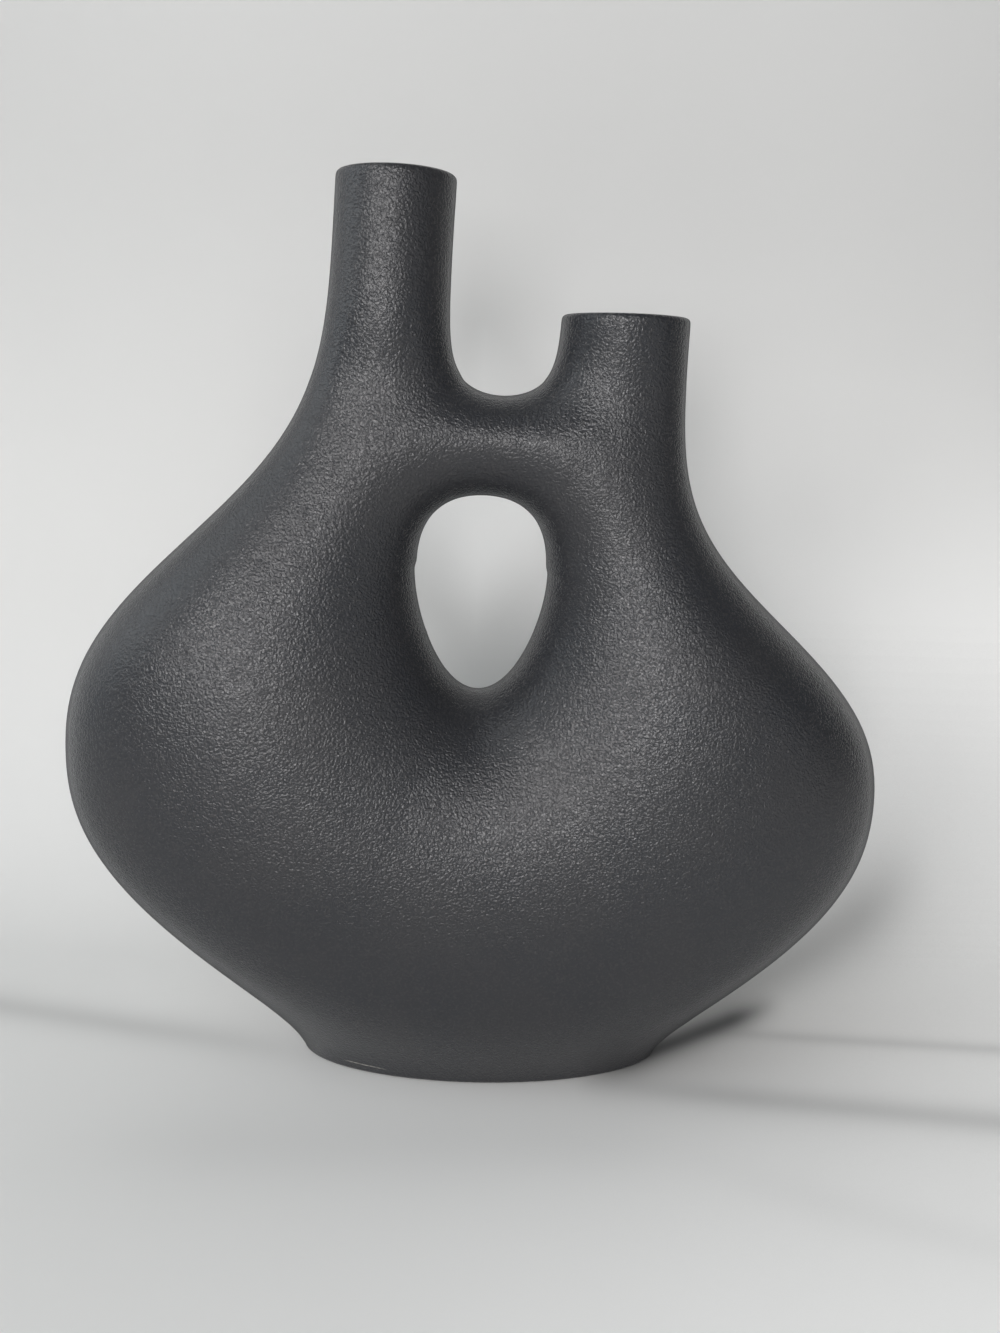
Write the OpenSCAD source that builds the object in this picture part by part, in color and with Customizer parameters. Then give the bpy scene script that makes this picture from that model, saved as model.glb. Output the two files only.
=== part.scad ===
// Twin-necked ceramic vase: one hollow cast shell with an egg-shaped opening through its body.
// Up is +Z, the front is -Y and the foot stands on z = 0. All sizes are in millimetres.

/* [Necks] */
// Height of the tall left neck's mouth above the floor
tall_h = 298; // [285:1:320]
// Height of the short right neck's mouth above the floor
short_h = 260; // [254:1:275]
// Outer diameter of the tall neck
tall_d = 36.5; // [34:0.5:44]
// Outer diameter of the short neck
short_d = 40; // [36:0.5:46]
// How far the tall neck's mouth leans towards the short neck
tall_lean = 1.75; // [0:0.25:5]
// Width of the space between the two necks
gap_w = 35; // [28:0.5:40]
// Sideways place of the middle of that space
gap_x = 4.5; // [0:0.5:10]
// Height of the bottom of that space
gap_h = 235; // [230:0.5:240]
// Height over which that space opens to its full width
gap_fade = 6.5; // [5:0.5:10]

/* [Body] */
// Width of the body, from the left belly to the right one
body_w = 278; // [264:1:292]
// Height at which the left side is widest
belly_left_z = 108; // [100:1:118]
// Rise over which the left shoulder draws in towards the tall neck
shoulder_left = 92; // [84:0.5:95]
// Height at which the right side is widest
belly_right_z = 98; // [88:1:106]
// Rise over which the right shoulder draws in towards the short neck
shoulder_right = 75.5; // [70:0.5:82]
// Depth of the body from front to back, at its deepest
belly_d = 84; // [76:0.5:96]
// Height at which the body is deepest
belly_d_z = 88; // [80:1:105]
// Rise over which the body's fullness dies away towards the necks
shoulder_d = 100; // [90:1:110]

/* [Foot] */
// Reach of the foot to the left of the middle
foot_left = 60.5; // [54:0.5:68]
// Reach of the foot to the right of the middle
foot_right = 70; // [60:0.5:74]
// Depth of the foot from front to back
foot_d = 47; // [42:0.5:56]
// Radius of the rounded edge under the foot
foot_r = 2; // [1:0.25:3]

/* [Opening through the body] */
// Sideways place of the opening's middle line
hole_x = -0.5; // [-5:0.5:5]
// Height at which the opening is widest
hole_z = 180; // [175:0.5:185]
// Width of the opening
hole_w = 42.5; // [36:0.5:48]
// Height of the opening above its widest level
hole_up = 23.5; // [19:0.5:25]
// Height of the opening below its widest level
hole_down = 42; // [34:0.5:48]

/* [Shell] */
// Thickness of the cast wall
wall = 5; // [4:0.25:6]
// Thickness of the floor above the foot
floor_t = 6; // [4.5:0.25:9]
// Radius of the rounded edges of the two mouths
lip_r = 1.5; // [1:0.25:2]

/* [Parts] */
// Part to draw

/* [Hidden] */
glaze = [0.21, 0.22, 0.23];
// How hollow the flanks are above the foot on the left, right, front and back
flank_left_pow = 1.55;
flank_right_pow = 1.45;
flank_front_pow = 1.5;
// How suddenly the shoulders draw in
shoulder_pow = 2.8;
// Roundness of the opening's upper and lower half, where 2 is an ellipse
hole_up_pow = 2.4;
hole_down_pow = 1.7;
// Share of the opening's width over which its lower tip is rounded off
hole_tip = 0.2;
// Growth over which the opening's outline turns into a plain oval
hole_round_off = 12;
// How strongly the opening hollows the body around it, where 1 is as strongly as a side does
hole_pull = 1.25;
// Height over which a neck stops feeling the far side, and the foot starts to feel the opening
free_h = 25;
foot_free_h = 70;
// Least distance to an edge that is reckoned with, so that nothing is divided by zero
least = 0.000001;
// Height above the saddle between the necks, in shares of gap_fade, where its two sides part
fork_rise = 0.7;
// Directions, from the opening's middle, in which the tall and short necks branch off
tall_branch = 132;
short_branch = 46;
neck_left = gap_w / 2 + tall_d - gap_x;
neck_right = gap_w / 2 + short_d + gap_x;

// Facet counts of the outer and the inner skin: rows from crest to edge, then the stations
// of the tall neck, left side, foot, right side, short neck and bridge
rows = 7;
outer_counts = [12, 32, 14, 30, 7, 12];
inner_counts = [8, 20, 8, 19, 5, 8];
edge_steps = 3;
// How much closer together the stations of the sides lie towards the foot, where 1 is even
closer = 1.4;

// Reach of a side at height z: it swells from the foot to the belly and draws in to the neck
function swell(z, foot, belly, neck, belly_z, flank_pow, rise) =
    z < belly_z
    ? foot + (belly - foot) * pow(1 - pow(1 - max(z, 0) / belly_z, 2), flank_pow)
    : neck + (belly - neck) * exp(-pow((z - belly_z) / rise, shoulder_pow));

function lean(z) = tall_lean * pow(max(0, z - gap_h) / (tall_h - gap_h), 2);
function left_line(z) =
    swell(z, foot_left, body_w / 2, neck_left, belly_left_z, flank_left_pow, shoulder_left) - lean(z);
function right_line(z) =
    swell(z, foot_right, body_w / 2, neck_right, belly_right_z, flank_right_pow, shoulder_right);

// The same two lines drawn in by the wall's thickness, measured square to the slope
function drawn_in(inset, steep) = inset * sqrt(1 + steep * steep);
function left_at(z, inset) =
    left_line(z) - (inset == 0 ? 0 : drawn_in(inset, left_line(z + 0.5) - left_line(z - 0.5)));
function right_at(z, inset) =
    right_line(z) - (inset == 0 ? 0 : drawn_in(inset, right_line(z + 0.5) - right_line(z - 0.5)));

// Radius, in direction a, of the egg-shaped opening grown by that much: it rounds off as it grows
function egg(a, grown) =
    let (
        high = (sin(a) > 0 ? hole_up : hole_down) + grown,
        power = 2 + ((sin(a) > 0 ? hole_up_pow : hole_down_pow) - 2) * exp(-grown / hole_round_off),
        blunt = pow(pow(cos(a), 2) + pow(hole_tip, 2), power / 2) - pow(hole_tip, power),
        across = blunt / pow(hole_w / 2 + grown, power),
        along = pow(abs(sin(a)) / high, power)
    )
    pow(across + along, -1 / power);

// Growth at which the opening's edge passes a point at distance r in direction a
function growth_to(r, a, inset, turns = 4) =
    turns == 0 ? 0
    : let (s = growth_to(r, a, inset, turns - 1)) max(0, s + r - egg(a, inset + s));

// Half the width of the space between the necks at height z
function gap_half(z, inset) =
    (gap_w / 2 + inset) * sqrt(max(0, 1 - exp((gap_h - inset - z) / gap_fade)));

function ease(t) = let (c = min(1, max(0, t))) c * c * (3 - 2 * c);

// How far a point lies inside the skin's edges: the edges' distances in parallel
function depth_share(x, z, inset) =
    let (
        dx = x - hole_x,
        dz = z - hole_z,
        half = gap_w / 2 + inset,
        far = 1 - ease((z - gap_h) / free_h),
        from_gap = x - gap_x - (x < gap_x ? lean(z) : 0),
        to_left = max(x + left_at(z, inset), least),
        to_right = max(right_at(z, inset) - x, least),
        to_hole = max(growth_to(norm([dx, dz]), atan2(dz, dx), inset), least),
        feel = hole_pull * far * ease(z / foot_free_h),
        open = exp(min(40, (gap_h - inset - z) / gap_fade)),
        to_gap = max(norm([from_gap, half * sqrt(open)]) - half, least)
    )
    1 / ((x > gap_x ? far : 1) / to_left + (x < gap_x ? far : 1) / to_right + feel / to_hole + 1 / to_gap);

// Greatest share found across the body at height z
function fullest(z, inset) =
    let (l = left_at(z, inset), r = right_at(z, inset))
    max([for (k = [1:39]) depth_share(-l + (l + r) * k / 40, z, inset)]);

// Fullness of the foot and belly that gives them their depths at one skin
function fullness(inset) = [
    pow(foot_d / 2 - inset, 2) / fullest(0, inset),
    pow(belly_d / 2 - inset, 2) / fullest(belly_d_z, inset)
];

// Half the depth of a skin at the point [x, z]
function half_depth(p, inset, full) =
    let (
        neck = tall_d + (short_d - tall_d) * ease((p[0] - gap_x) / gap_w + 0.5) - 2 * inset,
        fill = swell(p[1], full[0], full[1], neck, belly_d_z, flank_front_pow, shoulder_d)
    )
    sqrt(fill * depth_share(p[0], p[1], inset));

// Point of the outline in direction a from the opening's middle, found by halving
function inside(x, z, inset, low) = z > low && x > -left_at(z, inset) && x < right_at(z, inset);
function outline_hit(a, inset, low, near, away, turns) =
    let (r = (near + away) / 2, x = hole_x + r * cos(a), z = hole_z + r * sin(a))
    turns == 0 ? [x, z]
    : inside(x, z, inset, low) ? outline_hit(a, inset, low, r, away, turns - 1)
    : outline_hit(a, inset, low, near, r, turns - 1);
function outline_point(a, inset, low) = outline_hit(a, inset, low, hole_w / 2, tall_h, 30);

function egg_point(a, inset) = [hole_x, hole_z] + egg(a, inset) * [cos(a), sin(a)];
function mix(a, b, t) = a * (1 - t) + b * t;
function but_first(list) = [for (i = [1:len(list) - 1]) list[i]];
function reversed(list) = [for (i = [len(list) - 1:-1:0]) list[i]];
function direction(p) = let (a = atan2(p[1] - hole_z, p[0] - hole_x)) a < 0 ? a + 360 : a;

// One section's points from its crest point to its edge point, on the front (-1) or back (1)
function section(crest, edge, closed, inset, full, face) = [
    for (j = [0:rows])
        let (p = mix(crest, edge, sin(90 * j / rows)))
        [p[0], closed && j == rows ? 0 : face * half_depth(p, inset, full), p[1]]
];

// The two triangles of every cell of a grid of points, clockwise or turned over
function grid_faces(grid, start, over) = [
    for (i = [0:len(grid) - 2], j = [0:len(grid[0]) - 2], half = [0, 1])
        let (
            w = len(grid[0]),
            a = start + i * w + j,
            tri = half == 0 ? [a, a + w, a + w + 1] : [a, a + w + 1, a + 1]
        )
        over ? reversed(tri) : tri
];

// Stations of a skin. Each is [crest point, edge point, closed at the edge].
function skin_lanes(inset, low, counts) =
    let (
        n_tall = counts[0],
        n_foot = counts[2],
        n_short = counts[4],
        n_bridge = counts[5],
        top_tall = tall_h - lip_r,
        top_short = short_h - lip_r,
        foot_a = -left_at(low, inset),
        foot_b = right_at(low, inset),
        angle_a = direction([foot_a, low]),
        angle_b = direction([foot_b, low]),
        left_side = [for (i = [0:counts[1] - 1])
            outline_point(mix(angle_a, tall_branch, pow(1 - i / counts[1], closer)), inset, low)],
        foot_side = [for (i = [0:n_foot])
            [mix(foot_a, foot_b, (1 - cos(180 * i / n_foot)) / 2), low]],
        right_side = [for (i = [1:counts[3]])
            outline_point(mix(angle_b, 360 + short_branch, pow(i / counts[3], closer)), inset, low)],
        ring = concat(left_side, foot_side, right_side),
        ring_hole = [for (p = ring) egg_point(direction(p), inset)],
        ring_crest = [for (i = [0:len(ring) - 1]) mix(ring[i], ring_hole[i], 0.5)],
        last = len(ring) - 1,
        tall_fork = ring_crest[0],
        short_fork = ring_crest[last],
        crest_tall = [for (i = [0:n_tall])
            mix([gap_x - (gap_w + tall_d) / 2 + lean(top_tall), top_tall], tall_fork, i / n_tall)],
        crest_short = [for (i = [0:n_short])
            mix(short_fork, [gap_x + (gap_w + short_d) / 2, top_short], i / n_short)],
        edge_tall = [for (i = [0:n_tall])
            let (z = mix(top_tall, ring[0][1], i / n_tall)) [-left_at(z, inset), z]],
        edge_short = [for (i = [0:n_short])
            let (z = mix(ring[last][1], top_short, i / n_short)) [right_at(z, inset), z]],
        saddle = gap_h - inset,
        fork_z = saddle + gap_fade * fork_rise,
        gap_tall = [for (i = [0:n_tall])
            let (z = mix(top_tall, fork_z, i / n_tall)) [gap_x - gap_half(z, inset) + lean(z), z]],
        gap_short = [for (i = [0:n_short])
            let (z = mix(fork_z, top_short, i / n_short)) [gap_x + gap_half(z, inset), z]],
        // The saddle between the necks, from one neck's side to the other's
        gap_low = [for (i = [0:n_bridge])
            let (
                w = gap_half(fork_z, inset) * -cos(180 * i / n_bridge),
                z = saddle - gap_fade * ln(1 - pow(w / (gap_w / 2 + inset), 2))
            )
            [gap_x + w + (w < 0 ? lean(z) : 0), z]],
        hole_top = [for (i = [0:n_bridge])
            egg_point(mix(direction(tall_fork), direction(short_fork), i / n_bridge), inset)],
        crown = [gap_x, (gap_h + hole_z + hole_up) / 2],
        lift = 2 * crown - (tall_fork + short_fork) / 2,
        bridge = [for (i = [0:n_bridge])
            let (t = i / n_bridge) mix(mix(tall_fork, lift, t), mix(lift, short_fork, t), t)],
        outer = [
            concat(crest_tall, but_first(ring_crest), but_first(crest_short)),
            concat(edge_tall, but_first(ring), but_first(edge_short))
        ],
        valley = [
            concat(crest_tall, but_first(bridge), but_first(crest_short)),
            concat(gap_tall, but_first(gap_low), but_first(gap_short))
        ],
        opening = [
            concat(ring_crest, but_first(reversed(bridge))),
            concat(ring_hole, but_first(reversed(hole_top)))
        ],
        foot_start = n_tall + counts[1],
        foot_end = foot_start + n_foot
    )
    [
        [for (i = [0:len(outer[0]) - 1]) [outer[0][i], outer[1][i], i <= foot_start || i >= foot_end]],
        [for (i = [0:len(valley[0]) - 1]) [valley[0][i], valley[1][i], true]],
        [for (i = [0:len(opening[0]) - 1]) [opening[0][i], opening[1][i], true]],
        foot_start,
        foot_end
    ];

function lane_grid(lane, inset, full, face) =
    [for (s = lane) section(s[0], s[1], s[2], inset, full, face)];

// A mouth's closed ring of points, from the sections at the mouth on the outer side and the gap side
function mouth_ring(side_front, side_back, gap_front, gap_back) = concat(
    reversed(side_front),
    but_first(gap_front),
    but_first(reversed(gap_back)),
    but_first(side_back)
);

// A closed ring drawn in by d square to its run and moved up by h
function ring_inset(ring, d, h) =
    let (n = len(ring) - 1)
    [for (i = [0:n])
        let (
            span = ring[(i + 1) % n] - ring[(i + n - 1) % n],
            run = [span[0], span[1]] / norm([span[0], span[1]])
        )
        ring[i] + [-run[1] * d, run[0] * d, h]];

function rounded_edge(ring, r, up) =
    [for (k = [0:edge_steps])
        let (a = 90 * k / edge_steps)
        ring_inset(ring, r * (1 - cos(a)), up * abs(r) * sin(a))];

function flat(list) = [for (row = list, p = row) p];
function starts(grids, i = 0, sum = 0) =
    i == len(grids) ? [] : concat([sum], starts(grids, i + 1, sum + len(grids[i]) * len(grids[i][0])));

// False for a triangle that has shrunk to a line, where a grid's front and back points meet
function whole(a, b, c) = min(norm(a - b), norm(b - c), norm(c - a)) > 0.0001;

// The lip that joins the two skins at the first or the last stations of their lanes
function lip(outer_front, outer_back, inner_front, inner_back, last) =
    let (
        turn = last ? -1 : 1,
        at = function(lanes, k) lanes[k][last ? len(lanes[k]) - 1 : 0],
        outer_ring = mouth_ring(at(outer_front, 0), at(outer_back, 0), at(outer_front, 1), at(outer_back, 1)),
        inner_ring = mouth_ring(at(inner_front, 0), at(inner_back, 0), at(inner_front, 1), at(inner_back, 1))
    )
    concat(
        rounded_edge(outer_ring, turn * lip_r, 1),
        reversed(rounded_edge(inner_ring, -turn * lip_r, 1))
    );

module vase_body() {
    outer = skin_lanes(0, foot_r, outer_counts);
    inner = skin_lanes(wall, floor_t, inner_counts);
    outer_full = fullness(0);
    inner_full = fullness(wall);
    outer_front = [for (k = [0:2]) lane_grid(outer[k], 0, outer_full, -1)];
    outer_back = [for (k = [0:2]) lane_grid(outer[k], 0, outer_full, 1)];
    inner_front = [for (k = [0:2]) lane_grid(inner[k], wall, inner_full, -1)];
    inner_back = [for (k = [0:2]) lane_grid(inner[k], wall, inner_full, 1)];
    lips = [for (last = [false, true]) lip(outer_front, outer_back, inner_front, inner_back, last)];

    // The foot's oval is where the front and the back of the outer lane end
    n_foot = outer[4] - outer[3];
    foot_front = [for (i = [outer[3]:outer[4]]) outer_front[0][i][rows]];
    foot_back = [for (i = [outer[3]:outer[4]]) outer_back[0][i][rows]];
    foot_edge = rounded_edge(concat(foot_front, but_first(reversed(foot_back))), foot_r, -1);
    sole = foot_edge[edge_steps];
    underside = [for (i = [0:n_foot]) [sole[i], sole[2 * n_foot - i]]];
    inside_floor = [for (i = [inner[3]:inner[4]]) [inner_front[0][i][rows], inner_back[0][i][rows]]];

    grids = concat(
        outer_front, outer_back, inner_front, inner_back, lips, [foot_edge, underside, inside_floor]
    );
    over = [
        false, true, true,
        true, false, false,
        true, false, false,
        false, true, true,
        false, true,
        true, false, true
    ];
    first = starts(grids);
    points = flat([for (grid = grids) flat(grid)]);
    faces = [for (k = [0:len(grids) - 1], f = grid_faces(grids[k], first[k], over[k]))
        if (whole(points[f[0]], points[f[1]], points[f[2]])) f];
    color(glaze) polyhedron(points, faces, convexity = 8);
}

vase_body();
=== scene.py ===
import math

import bmesh
import bpy
from mathutils import Matrix, Vector


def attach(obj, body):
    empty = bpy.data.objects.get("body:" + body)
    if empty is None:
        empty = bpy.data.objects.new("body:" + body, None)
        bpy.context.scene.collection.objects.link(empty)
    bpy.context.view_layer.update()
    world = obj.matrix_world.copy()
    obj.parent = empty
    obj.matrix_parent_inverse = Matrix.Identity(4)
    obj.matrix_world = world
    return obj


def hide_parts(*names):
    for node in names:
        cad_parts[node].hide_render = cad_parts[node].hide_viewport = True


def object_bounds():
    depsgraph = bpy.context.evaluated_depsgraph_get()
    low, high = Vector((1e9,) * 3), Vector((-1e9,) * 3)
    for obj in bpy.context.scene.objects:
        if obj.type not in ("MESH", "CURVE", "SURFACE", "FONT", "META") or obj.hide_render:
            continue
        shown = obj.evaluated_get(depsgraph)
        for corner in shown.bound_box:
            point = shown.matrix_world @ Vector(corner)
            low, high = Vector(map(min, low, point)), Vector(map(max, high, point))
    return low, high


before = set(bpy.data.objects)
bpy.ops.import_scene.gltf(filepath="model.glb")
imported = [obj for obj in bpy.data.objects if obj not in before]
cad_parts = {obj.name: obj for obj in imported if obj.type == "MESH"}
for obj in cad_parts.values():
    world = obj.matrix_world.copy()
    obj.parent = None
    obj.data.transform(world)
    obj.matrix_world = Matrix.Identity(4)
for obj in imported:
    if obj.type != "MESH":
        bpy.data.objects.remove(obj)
cad_lo, cad_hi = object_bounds()
height = cad_hi.z
width = cad_hi.x - cad_lo.x
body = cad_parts["vase_body"]


# The smooth shell


def smooth_shell(source):
    """The solid's own facets, joined back into four-sided ones and rounded off."""
    weld_gap = height * 1e-6
    sharpest_fold = math.radians(40)
    widest_skew = math.radians(70)
    rounding_steps = 2
    piece = bpy.data.objects.new("vase_shell", source.data.copy())
    bpy.context.collection.objects.link(piece)
    mesh = bmesh.new()
    mesh.from_mesh(piece.data)
    bmesh.ops.remove_doubles(mesh, verts=mesh.verts, dist=weld_gap)
    bmesh.ops.join_triangles(
        mesh,
        faces=mesh.faces,
        angle_face_threshold=sharpest_fold,
        angle_shape_threshold=widest_skew,
    )
    for face in mesh.faces:
        face.smooth = True
    mesh.to_mesh(piece.data)
    mesh.free()
    piece.data.validate()
    rounding = piece.modifiers.new("rounding", "SUBSURF")
    rounding.levels = rounding_steps
    rounding.render_levels = rounding_steps
    return piece


shell = smooth_shell(body)
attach(shell, "root")
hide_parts("vase_body")


# Shader helpers


class Graph:
    """Adds nodes to a tree and joins them."""

    def __init__(self, tree):
        self.tree = tree
        tree.nodes.clear()

    def add(self, kind, **settings):
        node = self.tree.nodes.new(kind)
        inputs = settings.pop("inputs", {})
        for name, value in settings.items():
            setattr(node, name, value)
        for name, value in inputs.items():
            self.set(node, name, value)
        return node

    def set(self, node, name, value):
        self.fill(node.inputs[name], value)

    def fill(self, socket, value):
        if isinstance(value, bpy.types.NodeSocket):
            self.tree.links.new(value, socket)
        else:
            socket.default_value = value

    def maths(self, operation, a, b=0.0, clamp=False):
        node = self.add("ShaderNodeMath", operation=operation, use_clamp=clamp)
        self.set(node, 0, a)
        self.set(node, 1, b)
        return node.outputs[0]

    def product(self, first, *others):
        for other in others:
            first = self.maths("MULTIPLY", first, other)
        return first

    def remap(self, value, low, high, to_low=0.0, to_high=1.0, smooth=False):
        node = self.add("ShaderNodeMapRange", interpolation_type="SMOOTHSTEP" if smooth else "LINEAR")
        labels = ("Value", "From Min", "From Max", "To Min", "To Max")
        for label, setting in zip(labels, (value, low, high, to_low, to_high)):
            self.set(node, label, setting)
        return node.outputs["Result"]

    def blend(self, a, b, factor):
        node = self.add("ShaderNodeMix", data_type="RGBA")
        sockets = {socket.identifier: socket for socket in node.inputs}
        self.fill(sockets["Factor_Float"], factor)
        self.fill(sockets["A_Color"], a)
        self.fill(sockets["B_Color"], b)
        return next(socket for socket in node.outputs if socket.identifier == "Result_Color")

    def place(self):
        """The shaded point, in metres from its object's origin."""
        return self.add("ShaderNodeTexCoord").outputs["Object"]

    def parts(self, place):
        """The x, y and z of a place."""
        return self.add("ShaderNodeSeparateXYZ", inputs={"Vector": place}).outputs


def new_group(name, inputs, outputs):
    """A shader node group with those sockets: (name, kind, default) in, (name, kind) out."""
    tree = bpy.data.node_groups.new(name, "ShaderNodeTree")
    graph = Graph(tree)
    for label, kind, default in inputs:
        socket = tree.interface.new_socket(label, in_out="INPUT", socket_type=kind)
        socket.default_value = default
    for label, kind in outputs:
        tree.interface.new_socket(label, in_out="OUTPUT", socket_type=kind)
    return graph, graph.add("NodeGroupInput"), graph.add("NodeGroupOutput")


def use_group(graph, name, **inputs):
    node = graph.add("ShaderNodeGroup")
    node.node_tree = bpy.data.node_groups[name]
    for label, value in inputs.items():
        graph.set(node, label, value)
    return node


def new_material(name):
    material = bpy.data.materials.new(name)
    material.use_nodes = True
    graph = Graph(material.node_tree)
    out = graph.add("ShaderNodeOutputMaterial")
    shader = graph.add("ShaderNodeBsdfPrincipled")
    graph.set(out, "Surface", shader.outputs["BSDF"])
    return material, graph, shader


# Effects that the shell's materials share

grain_size = height * 0.0026
grain_depth = grain_size * 0.33
cloud_size = height * 0.12


def make_pebbled_grain():
    """Fine wrinkled pebbles of a sprayed matt glaze: their crests and their normals."""
    graph, given, out = new_group(
        "Pebbled grain",
        [("Size", "NodeSocketFloat", grain_size), ("Depth", "NodeSocketFloat", grain_depth)],
        [("Crests", "NodeSocketFloat"), ("Normal", "NodeSocketVector")],
    )
    scale = graph.maths("DIVIDE", 1.0, given.outputs["Size"])
    wrinkles = graph.add(
        "ShaderNodeTexNoise",
        inputs={"Vector": graph.place(), "Scale": scale, "Detail": 0.6, "Roughness": 0.5, "Distortion": 0.6},
    ).outputs["Fac"]
    bump = graph.add(
        "ShaderNodeBump",
        inputs={"Strength": 1.0, "Height": wrinkles, "Distance": given.outputs["Depth"]},
    )
    graph.set(out, "Crests", graph.remap(wrinkles, 0.45, 0.75, smooth=True))
    graph.set(out, "Normal", bump.outputs["Normal"])


def make_uneven_tone():
    """Slow cloudy change of tone that a hand-sprayed coat has, about 0 to 1."""
    graph, given, out = new_group(
        "Uneven tone", [("Size", "NodeSocketFloat", cloud_size)], [("Tone", "NodeSocketFloat")]
    )
    scale = graph.maths("DIVIDE", 1.0, given.outputs["Size"])
    cloud = graph.add(
        "ShaderNodeTexNoise",
        inputs={"Vector": graph.place(), "Scale": scale, "Detail": 4.0, "Roughness": 0.55},
    )
    graph.set(out, "Tone", graph.remap(cloud.outputs["Fac"], 0.3, 0.7, smooth=True))


def make_foot_scratch():
    """A thin pale scuff low on the front of the foot, on its left, that sags towards its right end."""
    left_end, left_full = -0.16 * width, -0.15 * width
    right_full, right_end = -0.112 * width, -0.1 * width
    sag_start = -0.155 * width
    rise, sag = 0.0155 * height, 0.003 * height
    core, edge = 0.0002 * height, 0.0011 * height
    chips_per_height = 268.2
    graph, _, out = new_group("Foot scratch", [], [("Scratch", "NodeSocketFloat")])
    place = graph.place()
    x, y, z = graph.parts(place)
    along = graph.remap(x, sag_start, right_end)
    line = graph.maths("SUBTRACT", rise, graph.product(along, along, sag))
    away = graph.maths("ABSOLUTE", graph.maths("SUBTRACT", z, line))
    thin = graph.remap(away, core, edge, 1.0, 0.0, smooth=True)
    left = graph.remap(x, left_end, left_full, smooth=True)
    right = graph.remap(x, right_full, right_end, 1.0, 0.0, smooth=True)
    chips = graph.add(
        "ShaderNodeTexNoise", inputs={"Vector": place, "Scale": chips_per_height / height, "Detail": 2.0}
    )
    broken = graph.remap(chips.outputs["Fac"], 0.35, 0.6, 0.25, 1.0)
    front = graph.maths("LESS_THAN", y, 0.0)
    graph.set(out, "Scratch", graph.product(thin, left, right, broken, front))


make_pebbled_grain()
make_uneven_tone()
make_foot_scratch()


# Materials of the shell


def glaze_material():
    """Dark blue-grey glaze, with shallower pebbles low down and a duller sheen where it is seen aslant."""
    dark = (0.0235, 0.0250, 0.0290, 1)
    cloudy = (0.0270, 0.0275, 0.0305, 1)
    crest = (0.034, 0.034, 0.036, 1)
    scuff = (0.32, 0.31, 0.28, 1)
    shallow_below, full_above = 0.12 * height, 0.3 * height
    least_depth, most_depth = grain_size * 0.2, grain_size * 0.38
    material, graph, shader = new_material("pebbled_black_glaze")
    rise = graph.parts(graph.place())[2]
    depth = graph.remap(rise, shallow_below, full_above, least_depth, most_depth, smooth=True)
    grain = use_group(graph, "Pebbled grain", Depth=depth)
    tone = use_group(graph, "Uneven tone").outputs["Tone"]
    scratch = use_group(graph, "Foot scratch").outputs["Scratch"]
    coat = graph.blend(graph.blend(dark, cloudy, tone), crest, grain.outputs["Crests"])
    graph.set(shader, "Base Color", graph.blend(coat, scuff, scratch))
    aside = graph.add("ShaderNodeLayerWeight", inputs={"Blend": 0.5}).outputs["Facing"]
    rim = graph.remap(aside, 0.65, 1.0, 0.0, 0.4, smooth=True)
    graph.set(shader, "Roughness", graph.maths("ADD", graph.remap(tone, 0.0, 1.0, 0.22, 0.26), rim))
    graph.set(shader, "Normal", grain.outputs["Normal"])
    shader.inputs["IOR"].default_value = 1.5
    shader.inputs["Specular IOR Level"].default_value = 0.4
    return material


def bare_clay_material():
    """The unglazed sole: dull, with a finer and shallower grain than the glaze."""
    dark = (0.20, 0.185, 0.165, 1)
    cloudy = (0.28, 0.26, 0.235, 1)
    crest = (0.33, 0.31, 0.28, 1)
    material, graph, shader = new_material("bare_grey_clay")
    grain = use_group(graph, "Pebbled grain", Size=grain_size * 0.6, Depth=grain_size * 0.04)
    tone = use_group(graph, "Uneven tone", Size=height * 0.05).outputs["Tone"]
    clay = graph.blend(dark, cloudy, tone)
    graph.set(shader, "Base Color", graph.blend(clay, crest, grain.outputs["Crests"]))
    graph.set(shader, "Roughness", graph.remap(tone, 0.0, 1.0, 0.8, 0.92))
    graph.set(shader, "Normal", grain.outputs["Normal"])
    return material


def inside_material():
    """The thin poured glaze of the inside, with a broad shallow ripple."""
    dark = (0.022, 0.022, 0.024, 1)
    cloudy = (0.036, 0.035, 0.036, 1)
    material, graph, shader = new_material("thin_inside_glaze")
    grain = use_group(graph, "Pebbled grain", Size=grain_size * 2.5, Depth=grain_size * 0.12)
    tone = use_group(graph, "Uneven tone", Size=height * 0.08).outputs["Tone"]
    graph.set(shader, "Base Color", graph.blend(dark, cloudy, tone))
    graph.set(shader, "Roughness", graph.remap(grain.outputs["Crests"], 0.0, 1.0, 0.5, 0.36))
    graph.set(shader, "Normal", grain.outputs["Normal"])
    return material


short_side = width * 0.02
short_mouth_z = max(v.co.z for v in body.data.vertices if v.co.x > short_side)
lip_height = height * 0.006
sole_thickness = height * 1e-4
floor_zone = height * 0.03


def at_lip(point):
    """True on the rounded lips of the two mouths."""
    return point.z > height - lip_height or (point.x > 0 and point.z > short_mouth_z - lip_height)


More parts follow.
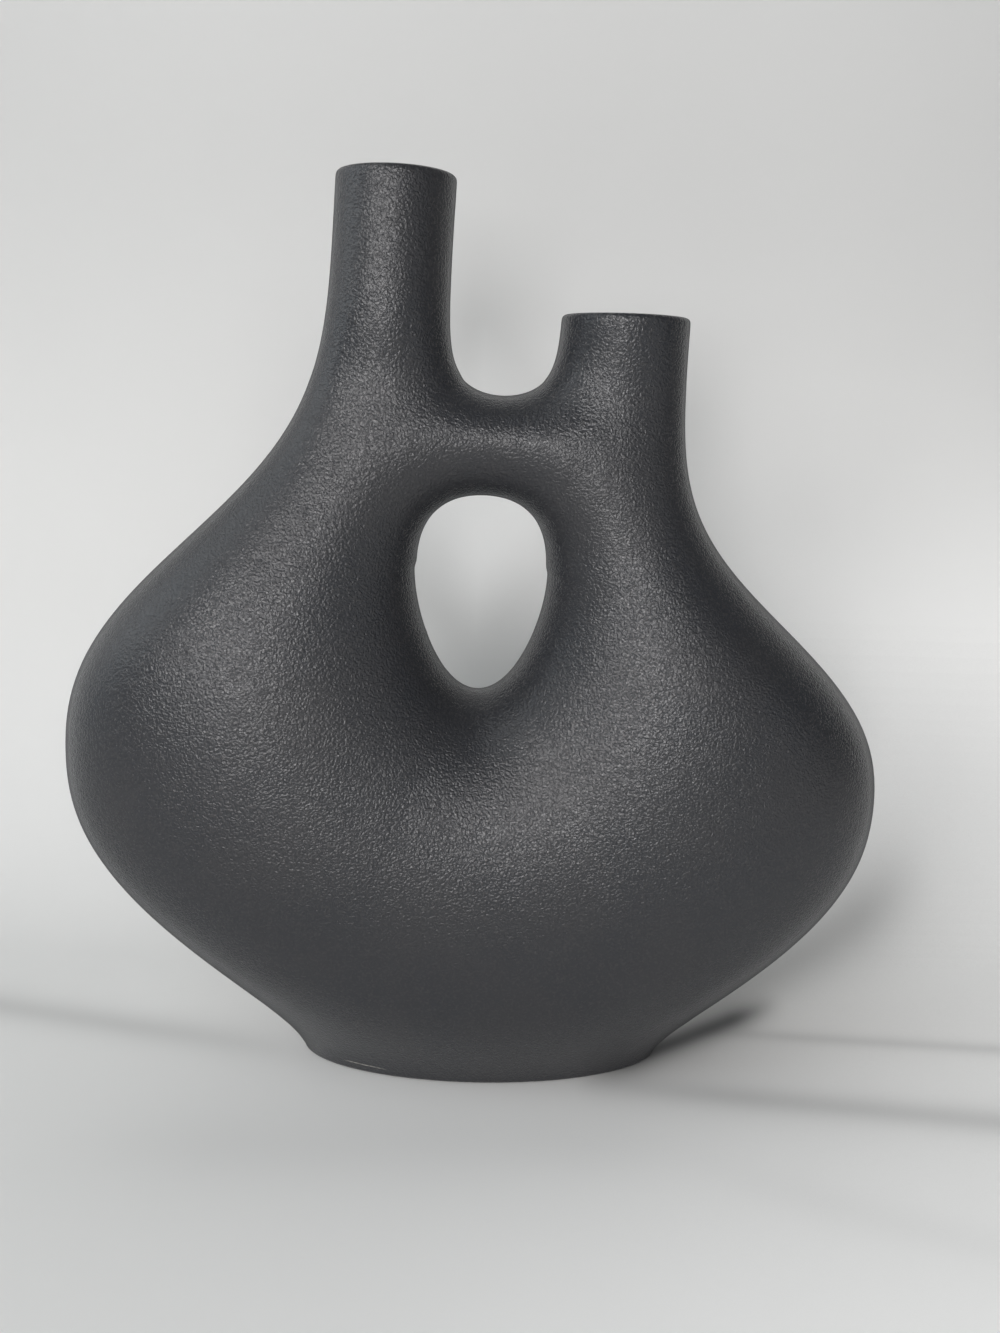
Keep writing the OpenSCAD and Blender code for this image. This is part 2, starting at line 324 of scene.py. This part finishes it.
def assign_materials(piece):
    """Bare clay on the sole, thin glaze on the inner skin up to the lips, and dark glaze elsewhere."""
    glaze, clay, inside = 0, 1, 2
    piece.data.materials.clear()
    for material in (glaze_material(), bare_clay_material(), inside_material()):
        piece.data.materials.append(material)
    mesh = bmesh.new()
    mesh.from_mesh(piece.data)
    for face in mesh.faces:
        on_sole = face.calc_center_median().z < sole_thickness
        face.material_index = clay if on_sole else glaze
    inner_floor = [f for f in mesh.faces if f.normal.z > 0.9 and f.calc_center_median().z < floor_zone]
    stack = [min(inner_floor, key=lambda f: f.calc_center_median().length)]
    while stack:
        face = stack.pop()
        if face.material_index == inside:
            continue
        face.material_index = inside
        for edge in face.edges:
            stack += [f for f in edge.link_faces if not at_lip(f.calc_center_median())]
    mesh.to_mesh(piece.data)
    mesh.free()


assign_materials(shell)


# The stage


def make_painted_shade_streak():
    """A soft streak of painted shade on the flat paper, between two places across the floor."""
    end_share = 0.3
    graph, given, out = new_group(
        "Painted shade streak",
        [
            ("Left", "NodeSocketFloat", 0.0),
            ("Right", "NodeSocketFloat", height),
            ("Behind", "NodeSocketFloat", 0.0),
            ("Slant", "NodeSocketFloat", 0.0),
            ("Thickness", "NodeSocketFloat", height * 0.02),
            ("Depth", "NodeSocketFloat", 0.2),
        ],
        [("Shade", "NodeSocketFloat")],
    )
    x, y, _ = graph.parts(graph.place())
    left, right, behind, slant, thickness, deep = (given.outputs[i] for i in range(6))
    from_left = graph.maths("SUBTRACT", x, left)
    line = graph.maths("ADD", behind, graph.product(from_left, slant))
    away = graph.maths("DIVIDE", graph.maths("SUBTRACT", y, line), thickness)
    across = graph.maths("DIVIDE", 1.0, graph.maths("ADD", 1.0, graph.product(away, away)))
    fade = graph.product(graph.maths("SUBTRACT", right, left), end_share)
    start = graph.maths("DIVIDE", from_left, fade, clamp=True)
    end = graph.maths("DIVIDE", graph.maths("SUBTRACT", right, x), fade, clamp=True)
    start, end = (graph.remap(share, 0.0, 1.0, smooth=True) for share in (start, end))
    graph.set(out, "Shade", graph.product(across, across, start, end, deep))


make_painted_shade_streak()

# Each painted shade streak's left and right end, how far its left end is behind the object's middle, slant,
# thickness and depth of shade, in heights of the object except for the slant and the depth
painted_shade_streaks = [
    (-1.30, -0.08, 0.215, -0.215, 0.040, 0.24),
    (0.24, 0.90, 0.040, -0.075, 0.018, 0.20),
    (0.06, 1.00, -0.062, -0.125, 0.034, 0.28),
    (0.20, 0.85, -0.20, -0.36, 0.050, 0.06),
    (-0.50, 0.35, -0.19, 0.02, 0.080, 0.08),
    # The last two streaks are the object's own shadow, painted: a dark contact shadow by its right foot and
    # a soft shadow beside its right flank
    (0.12, 0.44, -0.075, 0.60, 0.036, 0.85),
    (0.16, 0.78, -0.03, 0.78, 0.090, 0.36),
]


def outside_painted_streaks(graph):
    """1 on unshaded paper, and less under the painted shade streaks."""
    unstreaked_share = 1.0
    for left, right, behind, slant, thickness, deep in painted_shade_streaks:
        streak = use_group(
            graph,
            "Painted shade streak",
            Left=left * height,
            Right=right * height,
            Behind=behind * height,
            Slant=slant,
            Thickness=thickness * height,
            Depth=deep,
        )
        unstreaked_share = graph.product(unstreaked_share, graph.maths("SUBTRACT", 1.0, streak.outputs["Shade"]))
    return unstreaked_share


def unshadowed_towards_front_left(graph):
    """1 where nothing stands between the paper and its front left, and less in the object's soft shade; it
    shapes the painted shadow of the object in the paper's painted glow.
    """
    reach = 0.6 * height
    towards = graph.add("ShaderNodeCombineXYZ", inputs={"X": -0.4, "Y": -0.6, "Z": 0.7}).outputs[0]
    open_side = graph.add(
        "ShaderNodeAmbientOcclusion", samples=8, inputs={"Distance": reach, "Normal": towards}
    )
    return graph.maths("POWER", open_side.outputs["AO"], 4.0)


def painted_light_through_opening(graph, x, z):
    """A painted patch of light on the paper behind the object's opening, as if light fell through it."""
    centre, bright, end, strength = 0.62 * height, 0.04 * height, 0.34 * height, 0.9
    above = graph.maths("SUBTRACT", z, centre)
    away = graph.maths("ADD", graph.maths("ABSOLUTE", x), graph.maths("ABSOLUTE", above))
    return graph.remap(away, bright, end, strength, 0.0, smooth=True)


def sweep_material():
    """Pale paper with painted shade streaks, painted darker towards its far left and its top, which isn't
    seen from behind.

    Most of its brightness comes from the lamps. It also has a little painted light of its own, a glow, so
    that it is as pale as in the photograph with no more light on the object: on the right, low down and
    behind the opening.
    """
    shade = (0.02, 0.022, 0.025, 1)
    paper = (0.75, 0.75, 0.738, 1)
    pale_paper = (0.79, 0.79, 0.778, 1)
    no_glow = (0, 0, 0, 1)
    # The colour of the painted light glow
    painted_light_glow = (0.24, 0.24, 0.238, 1)
    material, graph, shader = new_material("pale_paper")
    tone = use_group(graph, "Uneven tone", Size=height * 1.5).outputs["Tone"]
    unstreaked_share = outside_painted_streaks(graph)
    x, _, z = graph.parts(graph.place())
    # Painted shade: the paper's colour darkens towards its far left and its top, and under the painted shade
    # streaks
    left_side = graph.remap(x, -0.3 * height, -1.0 * height, 1.0, 0.9, smooth=True)
    top = graph.remap(z, 0.5 * height, 1.2 * height, 1.0, 0.80, smooth=True)
    dim = graph.product(left_side, top, unstreaked_share)
    graph.set(shader, "Base Color", graph.blend(shade, graph.blend(paper, pale_paper, tone), dim))
    graph.set(shader, "Roughness", graph.remap(tone, 0.0, 1.0, 0.75, 0.85))
    # Painted light: a glow on the right and low down, seen by camera, glossy and transmission rays, held
    # back in the object's soft shade and under the painted shade streaks, and a painted patch of light
    # behind the opening
    path = graph.add("ShaderNodeLightPath").outputs
    seen = graph.maths("ADD", path["Is Camera Ray"], path["Is Glossy Ray"], clamp=True)
    seen = graph.maths("ADD", seen, path["Is Transmission Ray"], clamp=True)
    right_side = graph.remap(x, -0.5 * height, 0.6 * height, smooth=True)
    low = graph.remap(z, 0.1 * height, 0.9 * height, 1.0, 0.2, smooth=True)
    clear = graph.product(unshadowed_towards_front_left(graph), unstreaked_share, right_side, low)
    glow = graph.product(graph.maths("MAXIMUM", clear, painted_light_through_opening(graph, x, z)), seen)
    graph.set(shader, "Emission Color", graph.blend(no_glow, painted_light_glow, glow))
    shader.inputs["Emission Strength"].default_value = 1.0
    behind = graph.add("ShaderNodeNewGeometry").outputs["Backfacing"]
    graph.set(shader, "Alpha", graph.maths("SUBTRACT", 1.0, behind))
    return material


def make_sweep():
    """Paper that lies on the floor and curves up close behind the object."""
    half_width, front, top = height * 9, height * -5.4, height * 6.3
    back, bend = height * 0.62, height * 0.42
    bend_steps = 24
    profile = [(front, 0.0), (back - bend, 0.0)]
    for step in range(1, bend_steps + 1):
        angle = math.radians(90 * step / bend_steps)
        profile.append((back - bend + bend * math.sin(angle), bend - bend * math.cos(angle)))
    profile.append((back, top))
    verts = [(x, y, z) for y, z in profile for x in (-half_width, half_width)]
    faces = [(i, i + 1, i + 3, i + 2) for i in range(0, len(verts) - 2, 2)]
    mesh = bpy.data.meshes.new("sweep")
    mesh.from_pydata(verts, [], faces)
    for polygon in mesh.polygons:
        polygon.use_smooth = True
    sweep = bpy.data.objects.new("sweep", mesh)
    bpy.context.collection.objects.link(sweep)
    mesh.materials.append(sweep_material())


make_sweep()


# The light, with its sizes and places in heights of the object

lamp_distance = 4.0
lamp_aim = Vector((0, 0, 0.4))

# Name, then height and bearing in degrees as seen from the object, with 0 in front and -90 to its left,
# and then side, power and colour
lamps = [
    ("key", 10, -10, 1.1, 55, (1.0, 0.98, 0.98)),
    ("key_left", 20, -35, 1.2, 49, (1.0, 0.985, 0.98)),
    ("key_right", 20, 10, 1.2, 22, (1.0, 0.98, 0.98)),
    ("fill_right", 10, 45, 1.5, 6, (1.0, 1.0, 1.0)),
    ("window", 30, -80, 2.4, 33, (0.92, 0.975, 1.0)),
    ("window_high", 55, -45, 2.0, 19, (0.94, 0.98, 1.0)),
    ("side", 10, -90, 2.4, 10, (0.88, 0.96, 1.0)),
]


def around(rise, bearing):
    """The direction of that height and bearing."""
    rise, bearing = math.radians(rise), math.radians(bearing)
    level = math.cos(rise)
    return Vector((level * math.sin(bearing), -level * math.cos(bearing), math.sin(rise)))


def square_lamp(name, direction, side, power, colour):
    light = bpy.data.lights.new(name, "AREA")
    light.shape = "SQUARE"
    light.size = side * height
    light.energy = power * height * height
    light.color = colour
    lamp = bpy.data.objects.new(name, light)
    bpy.context.collection.objects.link(lamp)
    lamp.location = (lamp_aim + direction * lamp_distance) * height
    lamp.rotation_euler = (-direction).to_track_quat("-Z", "Y").to_euler()


for name, rise, bearing, side, power, colour in lamps:
    square_lamp(name, around(rise, bearing), side, power, colour)


def make_world():
    """A faint light from all sides, which the camera sees as a pale room where the paper ends."""
    light_strength, seen_strength = 0.08, 0.65
    world = bpy.data.worlds.new("room")
    bpy.context.scene.world = world
    world.use_nodes = True
    graph = Graph(world.node_tree)
    out = graph.add("ShaderNodeOutputWorld")
    seen = graph.add("ShaderNodeLightPath").outputs["Is Camera Ray"]
    glow = graph.add("ShaderNodeBackground", inputs={"Color": (0.90, 0.96, 1.0, 1)})
    graph.set(glow, "Strength", graph.remap(seen, 0.0, 1.0, light_strength, seen_strength))
    graph.set(out, "Surface", glow.outputs[0])


make_world()


# The camera, at the photograph's viewing angle

photo_height_px = 1333
lens_px = 1049
sensor_mm = 36.0
camera_place = Vector((-0.0168, -1.1473, 0.7993)) * height
camera_turn, camera_pitch, camera_roll = (math.radians(degrees) for degrees in (1.98, 15.02, 2.15))


def make_camera():
    """A camera turned to the right and pitched down by those angles, and then rolled."""
    lens = bpy.data.cameras.new("camera")
    camera = bpy.data.objects.new("camera", lens)
    bpy.context.collection.objects.link(camera)
    lens.sensor_width = sensor_mm
    lens.lens = sensor_mm * lens_px / photo_height_px
    lens.clip_start = height * 0.01
    lens.clip_end = height * 100
    level = math.cos(camera_pitch)
    forward = Vector(
        (math.sin(camera_turn) * level, math.cos(camera_turn) * level, -math.sin(camera_pitch))
    )
    aside = Vector((math.cos(camera_turn), -math.sin(camera_turn), 0))
    above = aside.cross(forward)
    right = aside * math.cos(camera_roll) + above * math.sin(camera_roll)
    up = right.cross(forward)
    axes = Matrix((right, up, -forward)).transposed().to_4x4()
    camera.matrix_world = Matrix.Translation(camera_place) @ axes
    bpy.context.scene.camera = camera


make_camera()
bpy.context.scene.view_settings.view_transform = "Standard"
